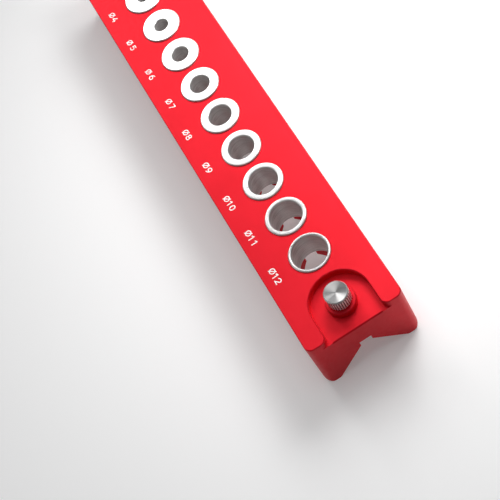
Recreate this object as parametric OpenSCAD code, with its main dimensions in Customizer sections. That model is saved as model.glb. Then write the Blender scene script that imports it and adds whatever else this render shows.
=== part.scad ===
// Drill guide: a V-grooved aluminium block that straddles the edge of a board and leads a drill
// through hardened steel bushings. X runs along the block towards its open pocket, the size marks
// lie on the -Y side, and Z is up from the surface that the two legs stand on. The origin is on
// that surface, below the middle of the block.

/* [Block] */
// Width of the V groove across the leg tips
v_w = 25.4; // [22:0.2:36]
// Thickness from the top face to the line where the two V faces would meet
web_t = 11.8; // [11:0.1:16]
// Thickness of a leg at its tip, beside the V groove
leg_t = 4.55; // [4.2:0.05:8]
// Radius of the four upright corners
corner_r = 2.5; // [1:0.1:3]
// Bevel that breaks the edges of the top face
edge_break = 0.25; // [0.1:0.05:0.4]
// Width of the square relief slot at the root of the V
relief_w = 4.2; // [3:0.1:6]
// Radius on the outer edge of each leg tip
tip_outer_r = 3; // [1:0.1:3.4]
// Radius on the inner edge of each leg tip
tip_inner_r = 1.5; // [0.5:0.1:2.5]

/* [Row of bushings] */
// Smallest drill size in the row
drill_min = 3; // [2:0.5:6]
// Largest drill size in the row
drill_max = 12; // [8:0.5:16]
// Number of bushings in the row
bush_count = 10; // [2:1:12]
// Metal left between one bushing and the next
bush_gap = 2.3; // [1.5:0.1:8]
// Metal left between the pocket and the nearest bushing
pocket_land = 2.8; // [1.5:0.1:8]
// Metal left between the last bushing and the far end of the block
far_land = 6.3; // [4:0.1:20]

/* [Bushings] */
// Wall of the bushing that has the largest bore
bush_wall = 0.95; // [0.9:0.05:2]
// Length of every bushing
bush_l = 11; // [8:0.1:12]
// Height of a bushing above the top face
bush_proud = 0.6; // [0.3:0.05:1]
// Amount by which a bushing is larger across than its hole
bush_press = 0.02; // [0.01:0.005:0.04]
// Room between a drill and its bushing, across
drill_room = 0.1; // [0.05:0.01:0.2]
// Bevel on a bushing's upper outer edge and at the mouth of its bore
bush_break = 0.25; // [0.1:0.05:0.35]
// Bevel on a bushing's lower outer edge, which leads it into its hole
bush_lead = 0.5; // [0.2:0.05:0.8]
// Bevel at the mouth of the hole that a bushing sits in
hole_break = 0.15; // [0.05:0.05:0.3]

/* [Pocket] */
// Width of the block on either side of the pocket
ear_w = 7.05; // [6:0.05:8]
// Depth of the pocket below the top face
pocket_d = 3; // [2:0.1:4]
// Distance from the end of the block to the screw's axis
screw_end = 10; // [8:0.1:14]
// Radius of the two corners of the pocket's mouth
mouth_r = 2.5; // [1:0.1:2.8]
// Diameter of the boss under the screw
boss_d = 10; // [9:0.1:12]
// Depth of the boss's top below the top face
boss_drop = 0.5; // [0.3:0.1:1.5]
// Bevel round the top of the boss
boss_break = 0.2; // [0.1:0.05:0.4]
// Bevel along the middle of the pocket floor's front edge
lip_break = 0.4; // [0.1:0.05:0.8]
// Distance from the pocket's side to the end of that bevel
lip_land = 1.2; // [0.5:0.1:3]

/* [Thumb screw] */
// Diameter over the knurl
head_d = 8; // [7.4:0.1:9]
// Height of the head
head_h = 5.2; // [3.5:0.1:8]
// Number of knurl teeth
knurl_n = 30; // [24:1:40]
// Depth of a knurl tooth
knurl_t = 0.35; // [0.1:0.01:0.4]
// Bevel at the lower end of the knurl
knurl_break = 0.4; // [0.1:0.05:0.5]
// Height of the plain cap above the knurl
cap_h = 0.8; // [0.6:0.05:1.4]
// Width and depth of the groove under the cap
cap_groove = 0.25; // [0.1:0.05:0.4]
// Bevel round the top of the cap
cap_break = 0.3; // [0.1:0.05:0.5]
// Depth of the shallow dish turned into the top of the cap
cap_dish = 0.3; // [0.1:0.05:0.5]
// Nominal diameter of the thread
thread_d = 4; // [3:0.5:5]
// Pitch of the thread
thread_pitch = 0.7; // [0.5:0.05:0.8]
// Plain neck of the shank below the head
neck_l = 1.2; // [0.8:0.1:3]
// Distance from the end of the shank to the bottom of its hole
shank_room = 0.5; // [0.3:0.1:2]
// Metal left between the bottom of the screw hole and the relief slot
hole_floor = 0.8; // [0.6:0.1:2]
// Room between the shank and its hole, all round
thread_room = 0.05; // [0.02:0.01:0.1]

/* [Washer] */
// Width of the washer's ring
washer_w = 1.35; // [0.8:0.05:1.5]
// Thickness of the washer
washer_t = 0.5; // [0.3:0.05:0.8]
// Room between the washer and the shank, all round
washer_room = 0.1; // [0.05:0.01:0.2]

/* [Hidden] */
// Fineness of round shapes
$fn = 96;
// Overrun of a cut past the surface that it opens
over = 1;
// Steps in a rounded edge of the block's section
arc_steps = 12;
// Overall height and width of the block, from its web, its V groove and its legs
apex_z = v_w / 2;
block_h = apex_z + web_t;
block_w = v_w + 2 * leg_t;
// Drill sizes along the row, smallest first
drill_sizes = [
    for (i = [0 : bush_count - 1])
        drill_min + (drill_max - drill_min) * i / (bush_count - 1)
];
// Outer diameter of every bushing, and the distance from one to the next
bush_d = drill_max + drill_room + 2 * bush_wall;
bush_pitch = bush_d + bush_gap;
// The pocket, whose inner end is a half circle about the screw's axis
pocket_w = block_w - 2 * ear_w;
pocket_r = pocket_w / 2;
// Distances along the block, and its length
row_l = (bush_count - 1) * bush_pitch;
row_end = screw_end + pocket_r + pocket_land + bush_d / 2;
block_l = row_end + row_l + bush_d / 2 + far_land;
x_end = block_l / 2;
x_screw = x_end - screw_end;
x_last = x_end - row_end;
// Heights of the pocket floor, the boss, the screw's head and the ends of its hole and shank
floor_z = block_h - pocket_d;
boss_z = block_h - boss_drop;
head_z = boss_z + washer_t;
screw_hole_z = apex_z + hole_floor;
shank_z = screw_hole_z + shank_room;
// The screw's hole, and the depth of its thread from crest to root
screw_hole_r = thread_d / 2 + thread_room;
thread_depth_share = 0.61;
thread_depth = thread_pitch * thread_depth_share;
// The washer's hole and outside, as radii
washer_hole_r = thread_d / 2 + washer_room;
washer_r = washer_hole_r + washer_w;

// Points on an arc of radius r about [y, z], from one angle to another
function arc(y, z, r, from, to) = [
    for (i = [0 : arc_steps])
        let (a = from + (to - from) * i / arc_steps)
        [y + r * cos(a), z + r * sin(a)]
];

// The same outline on the other side of Y = 0, in the opposite order
function mirrored(points) = [
    for (i = [len(points) - 1 : -1 : 0]) [-points[i][0], points[i][1]]
];

// The +Y half of the block's section, from the relief slot round the leg to the top face
half_section = concat(
    [[relief_w / 2, apex_z], [relief_w / 2, apex_z - relief_w / 2]],
    arc(apex_z + tip_inner_r * tan(45 / 2), tip_inner_r, tip_inner_r, 225, 270),
    arc(block_w / 2 - tip_outer_r, tip_outer_r, tip_outer_r, 270, 360),
    [[block_w / 2, block_h]]
);

// The block's length as an extrusion of that section
module bar() {
    translate([-x_end, 0, 0])
        rotate([90, 0, 90])
            linear_extrude(block_l)
                polygon(concat(half_section, mirrored(half_section)));
}

// What lies outside a rounded upright corner, from height z up. The corner points to +X and +Y,
// its centre is on the Z axis, and its top edge is bevelled.
module corner_cut(r, z) {
    difference() {
        translate([0, 0, z]) cube([r + over, r + over, block_h + edge_break - z]);
        rotate_extrude()
            polygon([
                [0, z - over],
                [r, z - over],
                [r, block_h - edge_break],
                [r - 2 * edge_break, block_h + edge_break],
                [r - 2 * edge_break, block_h + over],
                [0, block_h + over]
            ]);
    }
}

// What a bevel takes off an edge that runs along X from the origin, with the part at -Y and -Z
module bevel_cut(length, bevel) {
    rotate([90, 0, 90])
        linear_extrude(length)
            polygon([
                [over, -bevel - over],
                [over, over],
                [-bevel - over, over]
            ]);
}

// Bevels along the straight top edges of the block
module top_bevels() {
    for (side = [0, 1])
        mirror([0, side, 0])
            translate([-x_end - over, block_w / 2, block_h])
                bevel_cut(block_l + 2 * over, edge_break);
    for (side = [0, 1])
        mirror([side, 0, 0])
            translate([x_end, block_w / 2 + over, block_h])
                rotate(-90)
                    bevel_cut(block_w + 2 * over, edge_break);
}

// The four rounded upright corners of the block
module outer_corners() {
    for (end = [0, 1], side = [0, 1])
        mirror([end, 0, 0])
            mirror([0, side, 0])
                translate([x_end - corner_r, block_w / 2 - corner_r, 0])
                    corner_cut(corner_r, -over);
}

// The open pocket, with the boss left standing in it
module pocket() {
    difference() {
        translate([0, 0, floor_z])
            linear_extrude(pocket_d + over) {
                translate([x_screw, 0]) circle(pocket_r);
                translate([x_screw, -pocket_r]) square([screw_end + over, pocket_w]);
            }
        translate([x_screw, 0, 0])
            rotate_extrude()
                polygon([
                    [0, floor_z - over],
                    [boss_d / 2, floor_z - over],
                    [boss_d / 2, boss_z - boss_break],
                    [boss_d / 2 - boss_break, boss_z],
                    [0, boss_z]
                ]);
    }
    for (side = [0, 1])
        mirror([0, side, 0])
            translate([x_end - mouth_r, pocket_r + mouth_r, 0])
                mirror([0, 1, 0])
                    corner_cut(mouth_r, floor_z);
}

// Bevels round the pocket's top edge and along the front edge of its floor
module pocket_bevels() {
    translate([x_screw, 0, block_h - edge_break])
        cylinder(h = 2 * edge_break, r1 = pocket_r, r2 = pocket_r + 2 * edge_break);
    for (side = [0, 1])
        mirror([0, side, 0])
            translate([x_screw, pocket_r, block_h])
                mirror([0, 1, 0])
                    bevel_cut(screw_end + over, edge_break);
    translate([x_end, pocket_r - lip_land, floor_z])
        rotate(-90)
            bevel_cut(pocket_w - 2 * lip_land, lip_break);
}

// Holes for the bushings, each a little smaller than its bushing and bevelled at its mouth
module bushing_holes() {
    hole_r = (bush_d - bush_press) / 2;
    for (i = [0 : bush_count - 1])
        translate([x_last - i * bush_pitch, 0, 0])
            rotate_extrude()
                polygon([
                    [0, -over],
                    [hole_r, -over],
                    [hole_r, block_h - hole_break],
                    [hole_r + 2 * hole_break, block_h + hole_break],
                    [0, block_h + hole_break]
                ]);
}

// Blind hole for the thumb screw
module screw_hole() {
    translate([x_screw, 0, screw_hole_z])
        cylinder(h = block_h - screw_hole_z, r = screw_hole_r);
}

// The aluminium block
module guide_block() {
    color("crimson")
        difference() {
            bar();
            outer_corners();
            top_bevels();
            pocket();
            pocket_bevels();
            bushing_holes();
            screw_hole();
        }
}

// One hardened steel bushing. They are numbered from the one with the smallest bore.
module bushing(number) {
    bore_r = (drill_sizes[number - 1] + drill_room) / 2;
    outer_r = bush_d / 2;
    top_z = block_h + bush_proud;
    low_z = top_z - bush_l;
    color("silver")
        translate([x_last - (bush_count - number) * bush_pitch, 0, 0])
            rotate_extrude()
                polygon([
                    [bore_r, low_z],
                    [outer_r - bush_lead / 2, low_z],
                    [outer_r, low_z + bush_lead],
                    [outer_r, top_z - bush_break],
                    [outer_r - bush_break, top_z],
                    [bore_r + bush_break, top_z],
                    [bore_r, top_z - bush_break]
                ]);
}

// Small washer that the screw carries under its head
module head_washer() {
    color("lightgray")
        translate([x_screw, 0, boss_z])
            rotate_extrude()
                polygon([
                    [washer_hole_r, 0],
                    [washer_r, 0],
                    [washer_r, washer_t],
                    [washer_hole_r, washer_t]
                ]);
}

// Straight knurl: a ring of pointed teeth
module knurl_outline() {
    crest_r = head_d / 2;
    polygon([
        for (i = [0 : 2 * knurl_n - 1])
            let (r = crest_r - (i % 2) * knurl_t, a = 180 * i / knurl_n)
            [r * cos(a), r * sin(a)]
    ]);
}

// Knurled part of the head, bevelled where it starts
module knurl() {
    crest_r = head_d / 2;
    knurl_h = head_h - cap_h;
    intersection() {
        linear_extrude(knurl_h) knurl_outline();
        rotate_extrude()
            polygon([
                [0, 0],
                [crest_r - knurl_break, 0],
                [crest_r + over, knurl_break + over],
                [crest_r + over, knurl_h],
                [0, knurl_h]
            ]);
    }
}

// Plain turned cap on the knurl, dished on top, with a groove below it and a neck that reaches into
// the knurl
module cap() {
    rim_r = head_d / 2;
    neck_r = rim_r - knurl_t - cap_groove;
    neck_z = head_h - cap_h - cap_groove;
    rotate_extrude()
        polygon([
            [0, neck_z],
            [neck_r, neck_z],
            [neck_r, head_h - cap_h + cap_groove],
            [rim_r, head_h - cap_h + cap_groove],
            [rim_r, head_h - cap_break],
            [rim_r - cap_break, head_h],
            [0, head_h - cap_dish]
        ]);
}

// Shank below the head: a plain neck, then thread ridges, then a pointed end
module shank() {
    crest_r = thread_d / 2;
    root_r = crest_r - thread_depth;
    thread_l = head_z - shank_z - neck_l;
    ridges = floor(thread_l / thread_pitch);
    rotate_extrude()
        polygon(concat(
            [[0, 0], [crest_r, 0], [crest_r, -neck_l]],
            [for (i = [0 : 2 * ridges - 1])
                [i % 2 == 0 ? root_r : crest_r, -neck_l - (i + 1) * thread_pitch / 2]],
            [[root_r, shank_z - head_z], [0, shank_z - head_z]]
        ));
}

// Steel thumb screw, with its head standing on the washer
module thumb_screw() {
    color("gainsboro")
        translate([x_screw, 0, head_z]) {
            knurl();
            cap();
            shank();
        }
}

guide_block();
for (i = [1 : bush_count])
    bushing(i);
head_washer();
thumb_screw();
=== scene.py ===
import bmesh
import bpy
import numpy as np
from mathutils import Matrix, Vector


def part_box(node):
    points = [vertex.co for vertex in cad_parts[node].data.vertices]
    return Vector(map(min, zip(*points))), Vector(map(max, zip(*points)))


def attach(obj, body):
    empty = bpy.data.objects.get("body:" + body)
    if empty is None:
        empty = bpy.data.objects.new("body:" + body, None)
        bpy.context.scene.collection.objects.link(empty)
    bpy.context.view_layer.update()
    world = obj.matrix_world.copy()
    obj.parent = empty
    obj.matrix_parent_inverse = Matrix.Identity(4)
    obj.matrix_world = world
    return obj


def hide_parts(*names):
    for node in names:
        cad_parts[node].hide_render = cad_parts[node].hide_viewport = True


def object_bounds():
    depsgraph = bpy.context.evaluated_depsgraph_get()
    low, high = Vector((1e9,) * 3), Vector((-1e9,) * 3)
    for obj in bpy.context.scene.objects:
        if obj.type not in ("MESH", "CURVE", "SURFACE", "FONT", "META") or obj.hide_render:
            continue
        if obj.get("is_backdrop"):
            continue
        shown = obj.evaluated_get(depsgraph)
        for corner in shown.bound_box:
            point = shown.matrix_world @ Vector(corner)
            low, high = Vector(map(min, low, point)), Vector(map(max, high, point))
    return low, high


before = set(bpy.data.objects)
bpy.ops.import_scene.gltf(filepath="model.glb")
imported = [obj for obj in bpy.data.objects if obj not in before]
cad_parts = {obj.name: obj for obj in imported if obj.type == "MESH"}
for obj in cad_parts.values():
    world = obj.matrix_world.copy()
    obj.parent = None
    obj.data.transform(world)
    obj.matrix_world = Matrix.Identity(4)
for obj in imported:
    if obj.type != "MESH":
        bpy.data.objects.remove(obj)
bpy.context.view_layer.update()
scene = bpy.context.scene

# Guide block
# One bar of aluminium, milled, bead blasted and anodised red. It keeps the shape of its CAD node,
# with smooth curved faces in place of the node's flat triangles.
BLOCK_RED = (0.70, 0.010, 0.022)
BLOCK_RED_DEEP = (0.64, 0.008, 0.018)
BLOCK_CREASE = np.radians(20)
BLOCK_WELD = 1e-6


def smooth_copy(node, name):
    """A node's triangles welded into one shell. Edges that turn by more than the crease stay sharp,
    and each corner's normal leans to the larger faces, so that flat faces stay flat."""
    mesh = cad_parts[node].data.copy()
    mesh.materials.clear()
    shell = bmesh.new()
    shell.from_mesh(mesh)
    bmesh.ops.remove_doubles(shell, verts=shell.verts, dist=BLOCK_WELD)
    for edge in shell.edges:
        edge.smooth = len(edge.link_faces) == 2 and edge.calc_face_angle(0) < BLOCK_CREASE
    for face in shell.faces:
        face.smooth = True
    shell.to_mesh(mesh)
    shell.free()
    mesh.name = name
    copy = bpy.data.objects.new(name, mesh)
    scene.collection.objects.link(copy)
    copy.modifiers.new("even_normals", "WEIGHTED_NORMAL").keep_sharp = True
    return copy


def finish(name, colour, metallic, roughness):
    """A material with its shader's plain values set on the shader itself."""
    material = bpy.data.materials.new(name)
    material.use_nodes = True
    shader = material.node_tree.nodes["Principled BSDF"]
    shader.inputs["Base Color"].default_value = (*colour, 1)
    shader.inputs["Metallic"].default_value = metallic
    shader.inputs["Roughness"].default_value = roughness
    return material, material.node_tree, shader


def noise(tree, vector, scale, detail=2.0, roughness=0.5):
    """Fractal noise on the given coordinates. Most of it lies between 0.3 and 0.7."""
    node = tree.nodes.new("ShaderNodeTexNoise")
    node.inputs["Scale"].default_value = scale
    node.inputs["Detail"].default_value = detail
    node.inputs["Roughness"].default_value = roughness
    tree.links.new(vector, node.inputs["Vector"])
    return node.outputs["Fac"]


def mapped(tree, value, low, high, start=0.3, end=0.7):
    """A value carried from start..end to low..high."""
    node = tree.nodes.new("ShaderNodeMapRange")
    node.inputs["From Min"].default_value = start
    node.inputs["From Max"].default_value = end
    node.inputs["To Min"].default_value = low
    node.inputs["To Max"].default_value = high
    tree.links.new(value, node.inputs["Value"])
    return node.outputs["Result"]


def blended(tree, value, first, second):
    """A colour that goes from the first to the second as the value goes from 0 to 1. Each of the two
    is a plain colour or a node's output."""
    node = tree.nodes.new("ShaderNodeMix")
    node.data_type = "RGBA"
    for entry, colour in (("A", first), ("B", second)):
        if isinstance(colour, tuple):
            node.inputs[entry].default_value = (*colour, 1)
        else:
            tree.links.new(colour, node.inputs[entry])
    tree.links.new(value, node.inputs["Factor"])
    return node.outputs["Result"]


def bumped(tree, shader, height, strength, distance):
    """Fine relief on the shader, where a height of 1 stands for the distance in metres."""
    node = tree.nodes.new("ShaderNodeBump")
    node.inputs["Strength"].default_value = strength
    node.inputs["Distance"].default_value = distance
    tree.links.new(height, node.inputs["Height"])
    tree.links.new(node.outputs["Normal"], shader.inputs["Normal"])


def object_coordinates(tree):
    """The place of a point in the object's own frame, in metres."""
    return tree.nodes.new("ShaderNodeTexCoord").outputs["Object"]


anodised, tree, shader = finish("red_anodised", BLOCK_RED, metallic=0.55, roughness=0.42)
shader.inputs["Specular IOR Level"].default_value = 0.2
place = object_coordinates(tree)
cloud = mapped(tree, noise(tree, place, scale=70, detail=3), low=0, high=1)
tree.links.new(blended(tree, cloud, BLOCK_RED, BLOCK_RED_DEEP), shader.inputs["Base Color"])
gloss = mapped(tree, noise(tree, place, scale=900), low=0.36, high=0.46)
tree.links.new(gloss, shader.inputs["Roughness"])
grain = noise(tree, place, scale=3200, detail=3, roughness=0.6)
bumped(tree, shader, grain, strength=0.35, distance=0.00002)

block = smooth_copy("guide_block", "block_body")
block.data.materials.append(anodised)
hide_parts("guide_block")
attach(block, "block")

# Drill bushings
# Ten hardened steel bushings, ground all over, with bevelled edges, pressed into the block. Each
# stands a little proud of the top face. Sizes are in millimetres.
MM = 0.001
DRILLS = range(3, 13)
DRILL_ROOM = 0.1
BUSHING_BEVEL = 0.25
BUSHING_LEAD = 0.5
BUSHING_EDGE = 0.06
TURNED_COLUMNS = 144
# Points that lie no further than this outside the bore's radius are on its wall
BORE_WALL = 0.01
# Edges of a new shell that turn by less are smooth, and points nearer than the weld, in metres, are one
SHELL_CREASE = np.radians(38)
SHELL_WELD = 1e-8
# The length of a side over the longest cut that a softened corner takes from it
SIDE_TO_CUT = 2.5
# How fast the noise of the turned lines changes round the axis
LINE_CHANGE = 0.9
STEEL = (0.84, 0.83, 0.82)
STEEL_WORN = (0.76, 0.75, 0.74)
BORE_STEEL = (0.88, 0.87, 0.86)
BORE_STEEL_WORN = (0.52, 0.50, 0.49)


def softened(corners, radius, closed, steps=4):
    """A profile of (r, z) corners in mm with each corner cut back and replaced by a curve: points of
    the quadratic curve from one cut to the other, with the corner as its handle."""
    corners = np.array(corners, float)
    count = len(corners)
    points = []
    for i in range(count):
        if not closed and i in (0, count - 1):
            points.append(corners[i])
            continue
        here, before, after = corners[i], corners[i - 1], corners[(i + 1) % count]
        back, ahead = before - here, after - here
        cut = min(radius, np.hypot(*back) / SIDE_TO_CUT, np.hypot(*ahead) / SIDE_TO_CUT)
        start = here + back / np.hypot(*back) * cut
        end = here + ahead / np.hypot(*ahead) * cut
        t = np.linspace(0, 1, steps + 1)[:, None]
        points.extend((1 - t) ** 2 * start + 2 * t * (1 - t) * here + t ** 2 * end)
    return np.array(points)


def grid_faces(rows, columns, wraps):
    """Faces of a closed surface over a grid of points. Columns always meet round the back. Rows
    meet too where wraps is set, and otherwise close at two poles, where a row is one point."""
    index = np.arange(rows * columns).reshape(rows, columns)
    if wraps:
        index = np.vstack([index, index[:1]])
    right = np.roll(index, -1, axis=1)
    return np.stack([index[:-1], right[:-1], right[1:], index[1:]], -1).reshape(-1, 4)


def shell_piece(name, points, faces, lathe=None, finishes=None, rise=None):
    """A piece with closed shells from points in metres and their faces, smooth but for its sharp
    edges. lathe and rise are stored on the points as attributes of those names. finishes holds the
    number of each face's material."""
    mesh = bpy.data.meshes.new(name)
    mesh.from_pydata(points, [], faces.tolist())
    if finishes is not None:
        mesh.polygons.foreach_set("material_index", finishes.astype(np.int32))
    if lathe is not None:
        layer = mesh.attributes.new("lathe", "FLOAT_VECTOR", "POINT")
        layer.data.foreach_set("vector", lathe.astype(np.float32).ravel())
    if rise is not None:
        layer = mesh.attributes.new("rise", "FLOAT", "POINT")
        layer.data.foreach_set("value", rise.astype(np.float32).ravel())
    shell = bmesh.new()
    shell.from_mesh(mesh)
    bmesh.ops.remove_doubles(shell, verts=shell.verts, dist=SHELL_WELD)
    bmesh.ops.recalc_face_normals(shell, faces=shell.faces)
    for edge in shell.edges:
        edge.smooth = edge.calc_face_angle(0) < SHELL_CREASE
    for face in shell.faces:
        face.smooth = True
    shell.to_mesh(mesh)
    shell.free()
    piece = bpy.data.objects.new(name, mesh)
    scene.collection.objects.link(piece)
    return piece


def solid_from_grid(name, grid, wraps, lathe, row_finishes, rise=None):
    """A closed solid through a grid of points, rows by columns by (x, y, z) in metres. row_finishes
    holds the number of the material between each row and the next."""
    rows, columns = grid.shape[:2]
    bands = rows if wraps else rows - 1
    finishes = np.repeat(row_finishes[:bands], columns)
    faces = grid_faces(rows, columns, wraps)
    return shell_piece(name, grid.reshape(-1, 3), faces, lathe, finishes, rise)


def round_grid(radius, z, t, axis_x):
    """Points in metres at (axis_x + radius cos t, radius sin t, z), from sizes in mm and angles t."""
    return np.stack([axis_x + radius * np.cos(t), radius * np.sin(t), z + 0 * t], -1) * MM


def lathe_lines(profile, t):
    """For each point of a profile of (r, z) and each angle t: the length along the profile so far,
    cos t and sin t."""
    step = np.hypot(*np.diff(profile, axis=0, prepend=profile[:1]).T)
    along = np.cumsum(step)[:, None]
    return np.stack([along + 0 * t, np.cos(t) + 0 * along, np.sin(t) + 0 * along], -1)


def turned(name, profile, axis_x, bore=0):
    """A closed profile of (r, z) in mm turned about the upright axis at (axis_x, 0): at angle t its
    point lies at (axis_x + r cos t, r sin t, z). What lies at the bore's radius has the second
    material."""
    t = np.linspace(0, 2 * np.pi, TURNED_COLUMNS, endpoint=False)
    grid = round_grid(profile[:, 0, None], profile[:, 1, None], t, axis_x)
    inside = np.maximum(profile[:, 0], np.roll(profile[:, 0], -1)) < bore + BORE_WALL
    return solid_from_grid(name, grid, True, lathe_lines(profile, t), inside)


def attribute(tree, name):
    """The node that reads one of a piece's own attributes."""
    node = tree.nodes.new("ShaderNodeAttribute")
    node.attribute_name = name
    return node


def combined(tree, operation, first, second):
    """Two values, each a number or a node's output, brought together by a Math operation."""
    node = tree.nodes.new("ShaderNodeMath")
    node.operation = operation
    for entry, value in zip(node.inputs, (first, second)):
        if isinstance(value, (int, float)):
            entry.default_value = value
        else:
            tree.links.new(value, entry)
    return node.outputs[0]


def lathe_coordinates(tree, across, around):
    """The lathe attribute, with the length along the profile times across and the rest times around,
    so that noise on it draws fine lines round the axis."""
    scale = tree.nodes.new("ShaderNodeVectorMath")
    scale.operation = "MULTIPLY"
    scale.inputs[1].default_value = (across, around, around)
    tree.links.new(attribute(tree, "lathe").outputs["Vector"], scale.inputs[0])
    return scale.outputs["Vector"]


def turned_finish(name, bright, worn, line_scale, rough, relief, metallic=1, stretch=0.8):
    """Steel with fine lines round its axis, from the bright colour to the worn one, with their relief
    in metres. Roughness drifts between the two values of rough. Highlights stretch across the lines:
    the shader's tangent runs round the axis, along (-sin t, cos t, 0), and is turned by a quarter."""
    material, tree, shader = finish(name, bright, metallic, rough[0])
    shader.inputs["Anisotropic"].default_value = stretch
    shader.inputs["Anisotropic Rotation"].default_value = 0.25
    parts = tree.nodes.new("ShaderNodeSeparateXYZ")
    tree.links.new(attribute(tree, "lathe").outputs["Vector"], parts.inputs[0])
    round_axis = tree.nodes.new("ShaderNodeCombineXYZ")
    tree.links.new(combined(tree, "MULTIPLY", parts.outputs["Z"], -1), round_axis.inputs["X"])
    tree.links.new(parts.outputs["Y"], round_axis.inputs["Y"])
    tangent = tree.nodes.new("ShaderNodeVectorTransform")
    tangent.vector_type = "VECTOR"
    tangent.convert_from = "OBJECT"
    tangent.convert_to = "WORLD"
    tree.links.new(round_axis.outputs[0], tangent.inputs[0])
    tree.links.new(tangent.outputs[0], shader.inputs["Tangent"])
    place = lathe_coordinates(tree, line_scale, LINE_CHANGE)
    lines = noise(tree, place, scale=1, detail=3, roughness=0.6)
    shade = mapped(tree, lines, low=0, high=1)
    tree.links.new(blended(tree, shade, bright, worn), shader.inputs["Base Color"])
    patches = noise(tree, object_coordinates(tree), scale=400)
    tree.links.new(mapped(tree, patches, *rough), shader.inputs["Roughness"])
    bumped(tree, shader, lines, strength=0.5, distance=relief)
    return material


ground = turned_finish("ground_steel", STEEL, STEEL_WORN, line_scale=3, rough=(0.27, 0.31),
                       relief=0.0000001, stretch=0.3)
reamed = turned_finish("reamed_bore", BORE_STEEL, BORE_STEEL_WORN, line_scale=2.5, rough=(0.38, 0.50),
                       relief=0.00001, metallic=0.7, stretch=0.2)

for number, drill in enumerate(DRILLS, 1):
    node = f"bushing_{number}"
    low, high = (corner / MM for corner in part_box(node))
    axis_x, outer = (low.x + high.x) / 2, (high.x - low.x) / 2
    bore = (drill + DRILL_ROOM) / 2
    profile = softened([
        (bore, low.z), (outer - BUSHING_LEAD / 2, low.z), (outer, low.z + BUSHING_LEAD),
        (outer, high.z - BUSHING_BEVEL), (outer - BUSHING_BEVEL, high.z),
        (bore + BUSHING_BEVEL, high.z), (bore, high.z - BUSHING_BEVEL)], BUSHING_EDGE, closed=True)
    bushing = turned(f"drill_bushing_{number}", profile, axis_x, bore)
    bushing.data.materials.append(ground)
    bushing.data.materials.append(reamed)
    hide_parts(node)
    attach(bushing, "block")

# Size marks
# The drill size beside each bushing, printed on the block in white: a crossed circle, which means
# diameter, and the number, in plain round strokes that lie on the top face as a thin film.
MARK_HEIGHT = 1.96
MARK_STROKE = 0.37
MARK_FILM = 0.02
MARK_Y = -13.05
# How far apart the signs of a mark with one digit and of a mark with two stand
SIGN_PITCH = 2.5
CLOSE_SIGN_PITCH = 2.1
# Where a mark isn't quite at its place: how far off it is in x and y, and its signs' pitch
MARK_MOVES = {5: (-0.05, 0.2, 2.95), 6: (0.05, 0.35, 2.9), 7: (0.05, 0.85, 2.65), 8: (-0.85, 0.15, 2.45),
              9: (-0.75, 0.05, 2.5), 11: (-0.2, 0, 2.2), 12: (0.45, 0.05, 2.1)}
BOW_POINTS = 20
STROKE_COLUMNS = 10
STROKE_END_ROWS = 5
PRINT_WHITE = (0.95, 0.95, 0.94)
PRINT_WORN = (0.88, 0.87, 0.86)
block_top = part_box("guide_block")[1].z / MM


def line(*ends):
    """A straight open stroke from one (x, y) to the other."""
    return np.array(ends, float), False


def bow(x, y, wide, high, start=0, end=360):
    """Points of an oval from one angle to another, in degrees: x + wide cos a, y + high sin a."""
    closed = abs(end - start) == 360
    a = np.radians(np.linspace(start, end, BOW_POINTS, endpoint=not closed))
    return np.stack([x + wide * np.cos(a), y + high * np.sin(a)], -1), closed


# Strokes of each sign in shares of its height, about its middle
SIGN_SHARES = {
    "circle": [bow(0, 0, 0.47, 0.47), line((-0.42, -0.5), (0.42, 0.5))],
    "0": [bow(0, 0, 0.36, 0.5)],
    "1": [line((-0.25, 0.3), (0.07, 0.5)), line((0.07, 0.5), (0.07, -0.5))],
    "2": [bow(0, 0.2, 0.36, 0.3, 165, -35), line((0.295, 0.028), (-0.36, -0.5)),
          line((-0.36, -0.5), (0.38, -0.5))],
    "3": [bow(-0.02, 0.25, 0.32, 0.25, 150, -90), bow(-0.02, -0.25, 0.36, 0.25, 90, -150)],
    "4": [line((0.14, 0.5), (-0.38, -0.2)), line((-0.38, -0.2), (0.4, -0.2)),
          line((0.18, 0.05), (0.18, -0.5))],
    "5": [line((0.3, 0.5), (-0.27, 0.5)), line((-0.27, 0.5), (-0.3, 0.06)),
          bow(-0.03, -0.17, 0.37, 0.33, 125, -140)],
    "6": [bow(0.36, -0.2, 0.7, 0.72, 100, 176), bow(0, -0.18, 0.36, 0.32)],
    "7": [line((-0.34, 0.5), (0.36, 0.5)), line((0.36, 0.5), (-0.12, -0.5))],
    "8": [bow(0, 0.26, 0.3, 0.24), bow(0, -0.24, 0.36, 0.26)],
    "9": [bow(-0.36, 0.2, 0.7, 0.72, -80, -4), bow(0, 0.18, 0.36, 0.32)]}


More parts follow.
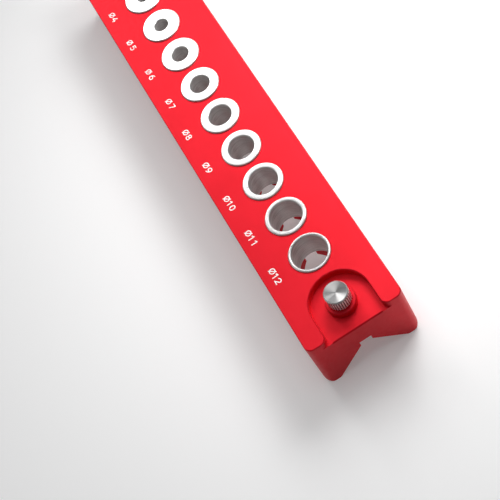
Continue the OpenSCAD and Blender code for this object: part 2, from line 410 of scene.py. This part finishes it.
def stroke_grid(path, closed):
    """A ridge along a path of (x, y) in mm on the top face. At angle a of its oval section a point
    lies half the stroke's width times cos a beside the path and the film's height times sin a above
    the face. At an open end the section shrinks and moves on as a half circle does."""
    ahead = np.roll(path, -1, 0) - np.roll(path, 1, 0) if closed else np.gradient(path, axis=0)
    ahead /= np.hypot(*ahead.T)[:, None]
    share = np.ones(len(path))
    if not closed:
        turn = np.linspace(0, np.pi / 2, STROKE_END_ROWS + 1)[:-1]
        past = MARK_STROKE / 2 * np.cos(turn)[:, None]
        path = np.vstack([path[0] - ahead[0] * past, path, path[-1] + ahead[-1] * past[::-1]])
        share = np.concatenate([np.sin(turn), share, np.sin(turn)[::-1]])
        first = ahead[:1].repeat(STROKE_END_ROWS, 0)
        last = ahead[-1:].repeat(STROKE_END_ROWS, 0)
        ahead = np.vstack([first, ahead, last])
    a = np.linspace(0, 2 * np.pi, STROKE_COLUMNS, endpoint=False)
    beside = share[:, None] * MARK_STROKE / 2 * np.cos(a)
    x = path[:, :1] - ahead[:, 1:] * beside
    y = path[:, 1:] + ahead[:, :1] * beside
    z = block_top + share[:, None] * MARK_FILM * np.sin(a)
    return np.stack([x, y, z], -1) * MM


def size_mark(drill, axis_x):
    """The crossed circle and the number's digits, one pitch apart and centred beside the bushing. A
    stroke's points lie at its sign's middle plus its share times the height."""
    signs = ["circle", *str(drill)]
    usual_pitch = SIGN_PITCH if len(signs) == 2 else CLOSE_SIGN_PITCH
    move_x, move_y, pitch = MARK_MOVES.get(drill, (0, 0, usual_pitch))
    points, faces = [], []
    stored = 0
    for order, sign in enumerate(signs):
        middle = (axis_x + move_x + (order - (len(signs) - 1) / 2) * pitch, MARK_Y + move_y)
        for path, closed in SIGN_SHARES[sign]:
            grid = stroke_grid(path * MARK_HEIGHT + middle, closed)
            points.append(grid.reshape(-1, 3))
            faces.append(grid_faces(*grid.shape[:2], closed) + stored)
            stored += len(points[-1])
    return shell_piece(f"size_mark_{drill}", np.vstack(points), np.vstack(faces))


white_print, tree, shader = finish("white_print", PRINT_WHITE, metallic=0, roughness=0.55)
cloud = mapped(tree, noise(tree, object_coordinates(tree), scale=2500), low=0, high=1)
tree.links.new(blended(tree, cloud, PRINT_WHITE, PRINT_WORN), shader.inputs["Base Color"])

for number, drill in enumerate(DRILLS, 1):
    low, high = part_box(f"bushing_{number}")
    mark = size_mark(drill, (low.x + high.x) / 2 / MM)
    mark.data.materials.append(white_print)
    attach(mark, "block")

# Washer
# Small steel washer that the thumb screw carries under its head, stamped, with rounded edges.
# It stops a hundredth of a millimetre short of the head, so that the two faces never cross.
WASHER_HOLE = 2.1
WASHER_EDGE = 0.12
WASHER_ROOM = 0.01

low, high = (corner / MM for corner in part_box("head_washer"))
axis_x, outer, top = (low.x + high.x) / 2, (high.x - low.x) / 2, high.z - WASHER_ROOM
profile = softened([(WASHER_HOLE, low.z), (outer, low.z), (outer, top), (WASHER_HOLE, top)],
                   WASHER_EDGE, closed=True)
washer = turned("screw_washer", profile, axis_x)
washer.data.materials.append(ground)
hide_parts("head_washer")
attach(washer, "washer")

# Thumb screw
# Steel screw turned from bar: a straight-knurled head with a plain cap, whose end is turned to a
# shallow dish, and a shank with an M4 thread, which the block hides at rest.
low, high = (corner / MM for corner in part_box("thumb_screw"))
AXIS_X = (low.x + high.x) / 2
HEAD_R = (high.x - low.x) / 2
TIP = low.z
HEAD_TOP = high.z
HEAD_HEIGHT = 5.2
SEAT = HEAD_TOP - HEAD_HEIGHT
CAP = 0.8
CAP_BEVEL = 0.3
CAP_EDGE = 0.05
GROOVE = 0.25
DISH = 0.3
DISH_RINGS = 30
# The knurl's depth and teeth, and how far below the groove the teeth start, are full and run straight
KNURL = 0.35
TEETH = 30
TOOTH_COLUMNS = 8
KNURL_START = 0.01
KNURL_FULL = 0.12
KNURL_STRAIGHT = 0.2
KNURL_ROWS = 10
# The bevel below the knurl, and its corner, as a height and a share of the bevel
FOOT_BEVEL = 0.4
FOOT_CORNER = 0.06
FOOT_CORNER_SHARE = 0.75
UNDERSIDE_RINGS = (2.8, 2.15)
NECK = 1.2
NECK_FILLET = 0.08
THREAD_R = 2.0
THREAD_DEPTH = 0.43
PITCH = 0.7
THREAD_STEP = 0.07
TIP_LEAD = 0.5
TIP_BEVEL = 0.15
# How steep the flanks of a tooth and of the thread are, and how deep the thread's root is cut off
TOOTH_FLANK = 1.25
THREAD_FLANK = 1.35
THREAD_ROOT = 0.1
TURNED_STEEL = (0.40, 0.39, 0.385)
TURNED_STEEL_WORN = (0.36, 0.35, 0.345)
KNURL_STEEL = (0.80, 0.84, 0.85)
# The knurl's crest colours: rubbed wear with a painted highlight, varying at random between the two
KNURL_CREST_RUB_AND_SHEEN = (0.96, 0.98, 0.99)
KNURL_CREST_WORN = (0.80, 0.83, 0.84)
# Painted shade for the bottom of the knurl's grooves
KNURL_GROOVE_SHADE = (0.05, 0.046, 0.043)


def rings(r, z, knurled=0, threaded=0):
    """Rows of (r, z, knurled, threaded), one for each of the radii or heights given."""
    return np.stack(np.broadcast_arrays(r, z, knurled, threaded), -1).reshape(-1, 4).astype(float)


def thumb_screw():
    """Rows from the middle of the dished cap down the head and the shank, each row at one height
    with its own radius. On knurl rows the radius falls from the tooth's crest in a flattened
    triangle wave of the angle. On thread rows it is such a wave of height over pitch less the
    turn, so the crest climbs one pitch a turn. Each row also holds how far it is knurl or thread.
    rise is 0 at the bottom of a groove and 1 on a crest."""
    knurl_top = HEAD_TOP - CAP
    groove_r = HEAD_R - KNURL - GROOVE
    root_r = THREAD_R - THREAD_DEPTH
    share = np.linspace(0, 1, DISH_RINGS)
    cap = softened([
        (HEAD_R - CAP_BEVEL, HEAD_TOP), (HEAD_R, HEAD_TOP - CAP_BEVEL), (HEAD_R, knurl_top + GROOVE),
        (groove_r, knurl_top + GROOVE), (groove_r, knurl_top)], CAP_EDGE, closed=False, steps=3)
    knurl_heights = np.linspace(knurl_top - KNURL_STRAIGHT, SEAT + FOOT_BEVEL, KNURL_ROWS)
    thread_heights = np.arange(SEAT - NECK - THREAD_STEP, TIP + TIP_LEAD, -THREAD_STEP)
    rows = np.vstack([
        rings(share * (HEAD_R - CAP_BEVEL), HEAD_TOP - DISH * (1 - share)),
        rings(cap[1:, 0], cap[1:, 1]),
        rings(HEAD_R - KNURL, knurl_top - KNURL_START),
        rings(HEAD_R, knurl_top - KNURL_FULL, knurled=1),
        rings(HEAD_R, knurl_heights, knurled=1),
        rings(HEAD_R - FOOT_BEVEL * FOOT_CORNER_SHARE, SEAT + FOOT_CORNER),
        rings(HEAD_R - FOOT_BEVEL, SEAT),
        rings(UNDERSIDE_RINGS, SEAT),
        rings(THREAD_R, (SEAT - NECK_FILLET, SEAT - NECK)),
        rings(THREAD_R, thread_heights, threaded=1),
        rings((root_r, root_r - TIP_BEVEL, 0), (TIP + TIP_BEVEL, TIP, TIP))])
    t = np.linspace(0, 2 * np.pi, TEETH * TOOTH_COLUMNS, endpoint=False)
    r, z, knurled, threaded = (rows[:, i, None] for i in range(4))
    tooth = np.abs((t * TEETH / (2 * np.pi)) % 1 * 2 - 1)
    crest = np.clip(tooth * TOOTH_FLANK, 0, 1)
    wave = np.abs(((z / PITCH - t / (2 * np.pi)) % 1) * 2 - 1)
    thread = np.clip(wave * THREAD_FLANK - THREAD_ROOT, 0, 1)
    radius = r - knurled * KNURL * (1 - crest) - threaded * THREAD_DEPTH * (1 - thread)
    grid = round_grid(radius, z, t, AXIS_X)
    formed = np.maximum(rows[:, 2], rows[:, 3]) > 0
    rise = 1 - knurled * (1 - crest) - threaded * (1 - thread)
    lathe = lathe_lines(rows[:, :2], t)
    return solid_from_grid("knurled_thumb_screw", grid, False, lathe, formed, rise)


# The cap has a sharp reflection, stretched across its lines, under a softer one
machined = turned_finish("turned_steel", TURNED_STEEL, TURNED_STEEL_WORN, line_scale=9,
                         rough=(0.20, 0.21), relief=0.0000006)
cap_shader = machined.node_tree.nodes["Principled BSDF"]
cap_shader.inputs["Coat Weight"].default_value = 1
cap_shader.inputs["Coat Roughness"].default_value = 0.28
cap_shader.inputs["Coat IOR"].default_value = 2.2

# The knurl's colour follows its relief: painted shade, near black, down in its grooves, and on its
# crests a bright colour that is partly rubbed wear and partly painted highlight
rolled, tree, shader = finish("rolled_knurl", KNURL_STEEL, metallic=0.85, roughness=0.4)
handling = noise(tree, object_coordinates(tree), scale=1800, detail=3)
crest_rub_and_sheen = blended(tree, mapped(tree, handling, low=0, high=1), KNURL_CREST_RUB_AND_SHEEN, KNURL_CREST_WORN)
height = attribute(tree, "rise").outputs["Fac"]
# The relief's height picks the painted groove shade or the crests' rubbed and painted-highlight colour
crest_sheen_share = mapped(tree, height, low=0, high=1, start=0.2, end=0.8)
tree.links.new(blended(tree, crest_sheen_share, KNURL_GROOVE_SHADE, crest_rub_and_sheen), shader.inputs["Base Color"])
tree.links.new(mapped(tree, handling, low=0.34, high=0.46), shader.inputs["Roughness"])
bumped(tree, shader, handling, strength=0.4, distance=0.00001)

screw = thumb_screw()
screw.data.materials.append(machined)
screw.data.materials.append(rolled)
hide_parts("thumb_screw")
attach(screw, "screw")

# Stage
# A plain pale floor and backdrop, four soft lamps behind, beside and above the block, and the
# camera. To the camera and in reflections the floor and the horizon look pale. Sizes are in metres.
FLOOR_SIZE = 4
FLOOR_GREY = (0.50, 0.50, 0.50)
FLOOR_PALE = (0.85, 0.85, 0.85)
FLOOR_GLOW = (0.20, 0.20, 0.20)
NO_GLOW = (0, 0, 0)
SKY_GREY = (0.067, 0.068, 0.07)
HORIZON_PALE = (0.75, 0.75, 0.75)
# The sky's height, as the sine of its angle, where the pale horizon starts to fade and has faded
HORIZON_FADES = 0.15
HORIZON_ENDS = 0.45
# Fitted to the photograph: where the camera looks, which way is up in it, and where it stands
VIEW = Vector((-0.551999, -0.026465, -0.833424)).normalized()
UP = Vector((-0.708630, 0.541672, 0.452144)).normalized()
STAND = (0.305379, -0.003241, 0.407025)
# The camera's sensor and lens in millimetres, and the nearest that it sees
SENSOR = 36
LENS = 103.80
NEAREST = 0.01

bpy.ops.mesh.primitive_plane_add(size=FLOOR_SIZE)
floor = bpy.context.object
floor.name = "floor"


def looked_at(tree):
    """1 for what the camera sees, straight or in a reflection, and 0 for light that falls from one
    surface on another."""
    rays = tree.nodes.new("ShaderNodeLightPath")
    return combined(tree, "MAXIMUM", rays.outputs["Is Camera Ray"], rays.outputs["Is Glossy Ray"])


paper, tree, shader = finish("pale_floor", FLOOR_GREY, metallic=0, roughness=1)
shader.inputs["Specular IOR Level"].default_value = 0
shader.inputs["Emission Strength"].default_value = 1
seen = looked_at(tree)
tree.links.new(blended(tree, seen, FLOOR_GREY, FLOOR_PALE), shader.inputs["Base Color"])
tree.links.new(blended(tree, seen, NO_GLOW, FLOOR_GLOW), shader.inputs["Emission Color"])
floor.data.materials.append(paper)
floor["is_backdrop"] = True

world = bpy.data.worlds.new("studio")
scene.world = world
world.use_nodes = True
tree = world.node_tree
direction = tree.nodes.new("ShaderNodeSeparateXYZ")
tree.links.new(tree.nodes.new("ShaderNodeTexCoord").outputs["Generated"], direction.inputs[0])
low_in_sky = mapped(tree, direction.outputs["Z"], low=1, high=0, start=HORIZON_FADES, end=HORIZON_ENDS)
pale = combined(tree, "MULTIPLY", low_in_sky, looked_at(tree))
tree.links.new(blended(tree, pale, SKY_GREY, HORIZON_PALE), tree.nodes["Background"].inputs["Color"])


def softbox(name, azimuth, elevation, distance, width, height, strength):
    """An oblong lamp that faces the thumb screw's head from a distance in metres. Azimuth turns
    from +X towards +Y."""
    lamp = bpy.data.lights.new(name, "AREA")
    lamp.shape = "RECTANGLE"
    lamp.size = width
    lamp.size_y = height
    lamp.energy = strength
    holder = bpy.data.objects.new(name, lamp)
    holder.visible_camera = False
    scene.collection.objects.link(holder)
    turn, rise = np.radians(azimuth), np.radians(elevation)
    toward = Vector((np.cos(turn) * np.cos(rise), np.sin(turn) * np.cos(rise), np.sin(rise)))
    holder.location = toward * distance + Vector((AXIS_X, 0, HEAD_TOP)) * MM
    holder.rotation_euler = toward.to_track_quat("Z", "Y").to_euler()


softbox("back_light", azimuth=184, elevation=38, distance=1.8, width=0.38, height=0.75, strength=5.4)
softbox("side_light", azimuth=130, elevation=45, distance=0.19, width=0.105, height=0.075, strength=0.25)
softbox("top_light", azimuth=176, elevation=86, distance=0.42, width=0.26, height=0.26, strength=0.44)
softbox("low_light", azimuth=152, elevation=30, distance=0.25, width=0.14, height=0.1, strength=0.22)

camera = bpy.data.cameras.new("camera")
camera.sensor_width = SENSOR
camera.lens = LENS
camera.clip_start = NEAREST
viewer = bpy.data.objects.new("camera", camera)
scene.collection.objects.link(viewer)
right = VIEW.cross(UP).normalized()
viewer.matrix_world = Matrix.Translation(STAND) @ Matrix((
    (right.x, UP.x, -VIEW.x, 0), (right.y, UP.y, -VIEW.y, 0), (right.z, UP.z, -VIEW.z, 0), (0, 0, 0, 1)))
scene.camera = viewer
scene.view_settings.view_transform = "Standard"

low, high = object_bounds()
